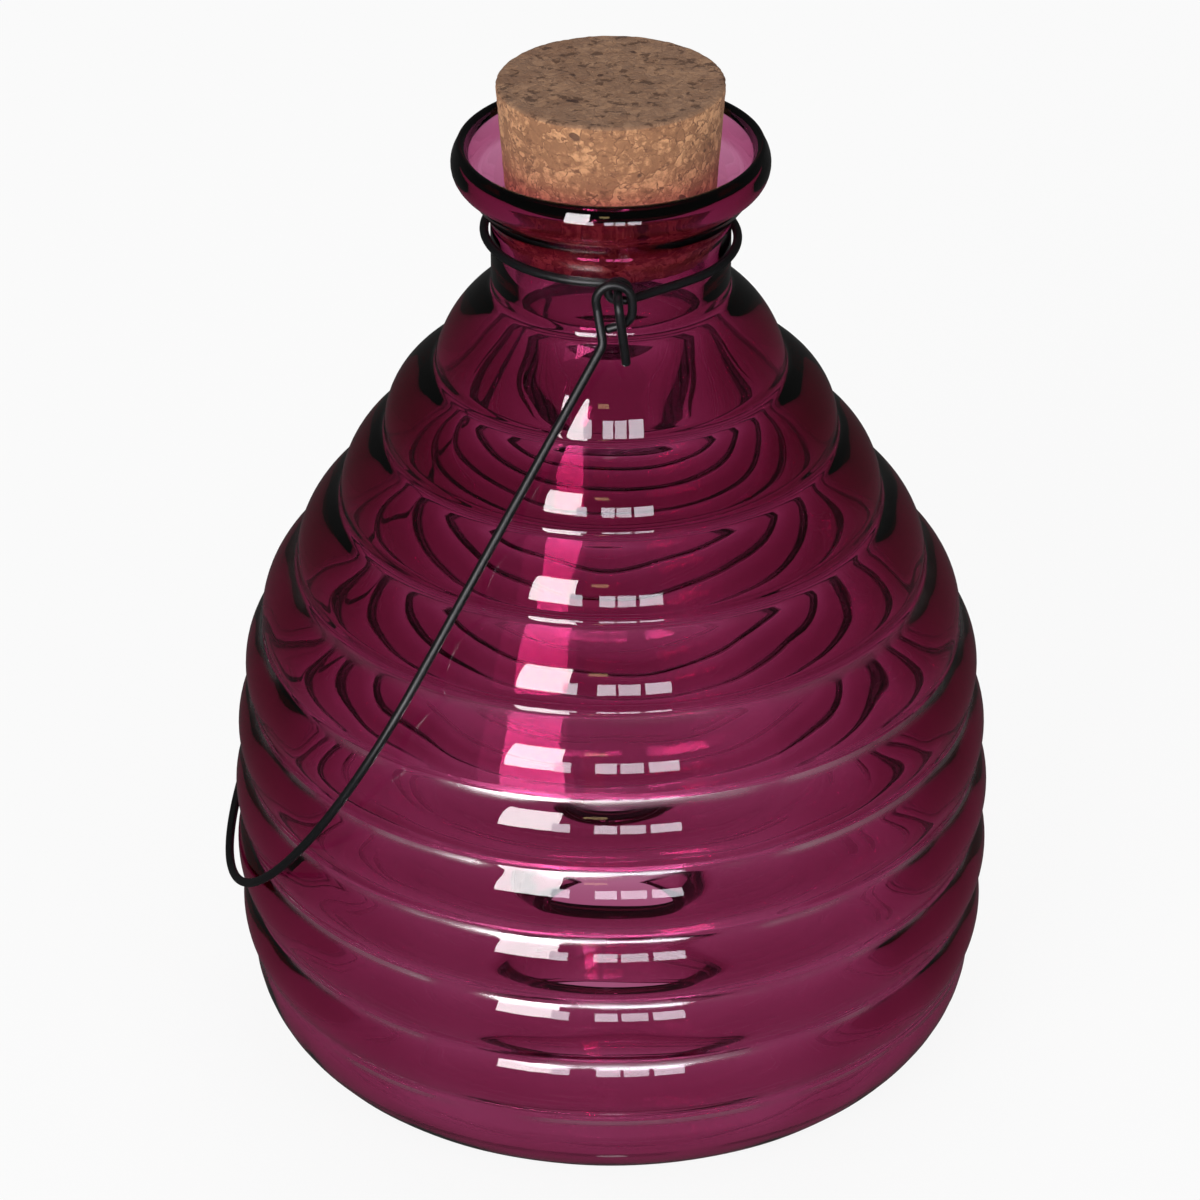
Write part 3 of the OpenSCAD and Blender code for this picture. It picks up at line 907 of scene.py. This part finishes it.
# The stage
class FLYTRAP_OT_stage(bpy.types.Operator):
    """Set the camera, the lamps, the pale floor and the white surroundings"""

    bl_idname = "flytrap.stage"
    bl_label = "Stage"

    SENSOR_MM = 36
    NEAREST = 0.01
    FARTHEST = 50
    FLOOR_HALF = 4
    FLOOR_DROP = 0.15 * MM
    # What the lamps face and the panels curve round
    AIM = Vector((0, 0, 0.1))
    # Curved panels that only glass and wire mirror: left and right bearing from the camera's side,
    # low and high elevation in degrees, distance in metres, brightness and colour
    PANELS = (
        ("tall_pane", -32, -14.5, -1, 32, 1.2, 18, (1, 0.96, 0.98)),
        ("low_pane_1", -16.5, -11.5, -2, 13, 1.15, 11, (0.92, 0.92, 1)),
        ("low_pane_2", -4.5, 1.7, -2, 13, 1.2, 11, (0.92, 0.92, 1)),
        ("low_pane_3", 2.7, 9.8, -2, 13, 1.2, 10, (0.92, 0.92, 1)),
        ("low_pane_4", 11.3, 20.3, -2, 13, 1.2, 11, (0.92, 0.92, 1)),
        ("gold_bar", -8, -1, 24, 28, 1.2, 4, (1, 0.7, 0.35)),
        ("dark_flag", -180, 180, -88, 88, 1.3, 0.05, (1, 1, 1)),
    )
    PANEL_STEP = 0.1
    # Panels brighter than this are panes, which add more where they are mirrored inside the glass
    PANE = 5
    WITHIN = 4
    # Panels dimmer than this don't show through the glass
    DIM = 1
    # Share of its brightness that a panel loses as light on dull surfaces
    LIGHT_LOSS = 0.82
    # Soft lamps: place and width in metres, and watts
    SOFT_BOXES = (
        ((-0.7, -1.4, 0.6), 0.8, 14.0),
        ((0.9, -1.1, 0.6), 0.8, 4.0),
        ((0.1, 0.6, 1.6), 0.9, 3.0),
    )

    def execute(self, context):
        size = context.scene.fly_trap.stage
        self.camera(context, size)
        self.world(context, size)
        self.floor(size)
        for i, (place, across, watts) in enumerate(self.SOFT_BOXES):
            self.lamp(f"soft_box_{i}", Vector(place), across, watts)
        for panel in self.PANELS:
            self.panel(*panel)
        context.scene.view_settings.view_transform = "Standard"
        return {"FINISHED"}

    def camera(self, context, size):
        lens = bpy.data.cameras.new("camera")
        lens.sensor_fit = "HORIZONTAL"
        lens.sensor_width = self.SENSOR_MM
        lens.lens = size.focal
        lens.clip_start = self.NEAREST
        lens.clip_end = self.FARTHEST
        rise = size.elevation
        ahead = Vector((0, math.cos(rise), -math.sin(rise)))
        above = Vector((0, math.sin(rise), math.cos(rise)))
        across = Vector((1, 0, 0))
        aim = (ahead + size.yaw * across + size.pitch * above).normalized()
        right = aim.cross(above).normalized()
        top = right.cross(aim)
        rolled = math.cos(size.roll) * right + math.sin(size.roll) * top
        top = math.cos(size.roll) * top - math.sin(size.roll) * right
        turned = Matrix((rolled, top, -aim)).transposed().to_4x4()
        eye = bpy.data.objects.new("camera", lens)
        eye.matrix_world = Matrix.Translation(size.aim_z * UP - size.distance * ahead) @ turned
        context.scene.collection.objects.link(eye)
        context.scene.camera = eye

    def world(self, context, size):
        """White to the camera and to what glass and wire show; softer as light"""
        around = bpy.data.worlds.new("surroundings")
        around.use_nodes = True
        context.scene.world = around
        finish = Finish(around.node_tree)
        light = {"Color": (1, 1, 1, 1), "Strength": size.ambient + (1 - size.ambient) * seen(finish)}
        back = finish.node("ShaderNodeBackground", {}, light)
        finish.node("ShaderNodeOutputWorld", {}, {"Surface": back})

    def floor(self, size):
        """Nearly white to the eye, with the part's shadow"""
        bm = bmesh.new()
        bmesh.ops.create_grid(bm, x_segments=1, y_segments=1, size=self.FLOOR_HALF)
        bmesh.ops.translate(bm, verts=bm.verts, vec=(0, 0, -self.FLOOR_DROP))
        mesh = bpy.data.meshes.new("floor")
        bm.to_mesh(mesh)
        bm.free()
        finish = Finish.material("pale_floor")
        pale = finish.node("ShaderNodeBsdfDiffuse", {}, {"Color": (0.9, 0.9, 0.9, 1)})
        white = finish.node("ShaderNodeEmission", {}, {"Color": (1, 1, 1, 1), "Strength": 1})
        share = size.floor_white * seen(finish)
        mixed = finish.node("ShaderNodeMixShader", {}, {0: share, 1: pale, 2: white})
        finish.node("ShaderNodeOutputMaterial", {}, {"Surface": mixed})
        mesh.materials.append(finish.made)
        floor = bpy.data.objects.new("floor", mesh)
        floor.visible_glossy = False
        bpy.context.scene.collection.objects.link(floor)

    def lamp(self, name, place, across, watts):
        """A soft square lamp that faces the part"""
        made = bpy.data.lights.new(name, "AREA")
        made.shape = "SQUARE"
        made.size = across
        made.energy = watts
        lamp = bpy.data.objects.new(name, made)
        facing = (place - self.AIM).to_track_quat("Z", "Y")
        lamp.matrix_world = Matrix.Translation(place) @ facing.to_matrix().to_4x4()
        bpy.context.scene.collection.objects.link(lamp)

    def panel(self, name, left, right, low, high, distance, brightness, shade):
        """A curved panel round the part that shows in glass and wire but casts no shadow"""
        left, right, low, high = (math.radians(a) for a in (left, right, low, high))
        bm = bmesh.new()
        foot = bm.verts.new(self.AIM + distance * Vector((0, -math.cos(low), math.sin(low))))
        self.sweep(bm, [foot], (-1, 0, 0), high - low)
        bmesh.ops.rotate(bm, verts=bm.verts, cent=self.AIM, matrix=Matrix.Rotation(left, 3, "Z"))
        self.sweep(bm, bm.verts[:] + bm.edges[:], UP, right - left)
        mesh = bpy.data.meshes.new(name)
        bm.to_mesh(mesh)
        bm.free()
        finish = Finish.material(name)
        more = self.WITHIN if brightness > self.PANE else 0
        within = bounced(finish, "Ray Depth", 2)
        lighting = bounced(finish, "Diffuse Depth", 1)
        mirrored = bounced(finish, "Glossy Depth", 1).most(lighting)
        shown = brightness * (1 + more * within) * (1 - self.LIGHT_LOSS * lighting)
        strength = shown * mirrored + (1 - mirrored)
        glow = finish.node("ShaderNodeEmission", {}, {"Color": opaque(shade), "Strength": strength})
        finish.node("ShaderNodeOutputMaterial", {}, {"Surface": glow})
        mesh.materials.append(finish.made)
        panel = bpy.data.objects.new(name, mesh)
        panel.visible_camera = False
        panel.visible_diffuse = False
        panel.visible_shadow = False
        panel.visible_transmission = brightness > self.DIM
        bpy.context.scene.collection.objects.link(panel)

    def sweep(self, bm, geom, axis, turned):
        """Draw points or edges round the aim"""
        steps = math.ceil(turned / self.PANEL_STEP)
        bmesh.ops.spin(bm, geom=geom, cent=self.AIM, axis=axis, angle=turned, steps=steps)


def ray(finish, fact):
    """One fact about the ray that meets a surface"""
    return finish.node("ShaderNodeLightPath", out=fact)


def bounced(finish, fact, times):
    """1 for rays that have bounced at least a number of times, by one of the ray's counts"""
    return finish.step(ray(finish, fact), times - 0.6, times - 0.4)


def seen(finish):
    """1 for what shows to the camera, in mirrors and through clear glass"""
    straight = ray(finish, "Is Camera Ray")
    return straight.most(ray(finish, "Is Glossy Ray")).most(ray(finish, "Is Transmission Ray"))


class FLYTRAP_PT_panel(bpy.types.Panel):
    """Buttons for the pieces of the fly trap and its stage"""

    bl_idname = "FLYTRAP_PT_panel"
    bl_label = "Fly trap"
    bl_space_type = "VIEW_3D"
    bl_region_type = "UI"
    bl_category = "Fly trap"

    def draw(self, context):
        for operator in OPERATORS:
            self.layout.operator(operator.bl_idname)


OPERATORS = (FLYTRAP_OT_stage, FLYTRAP_OT_glass, FLYTRAP_OT_cork, FLYTRAP_OT_wires)
CLASSES = (GlassSizes, CorkSizes, WireSizes, StageSizes, FlyTrap, *OPERATORS, FLYTRAP_PT_panel)


def register():
    for made in CLASSES:
        bpy.utils.register_class(made)
    bpy.types.Scene.fly_trap = PointerProperty(type=FlyTrap)


def unregister():
    del bpy.types.Scene.fly_trap
    for made in reversed(CLASSES):
        bpy.utils.unregister_class(made)


def main():
    register()
    bpy.ops.flytrap.stage()
    bpy.ops.flytrap.glass()
    bpy.ops.flytrap.cork()
    bpy.ops.flytrap.wires()


if __name__ == "__main__":
    main()
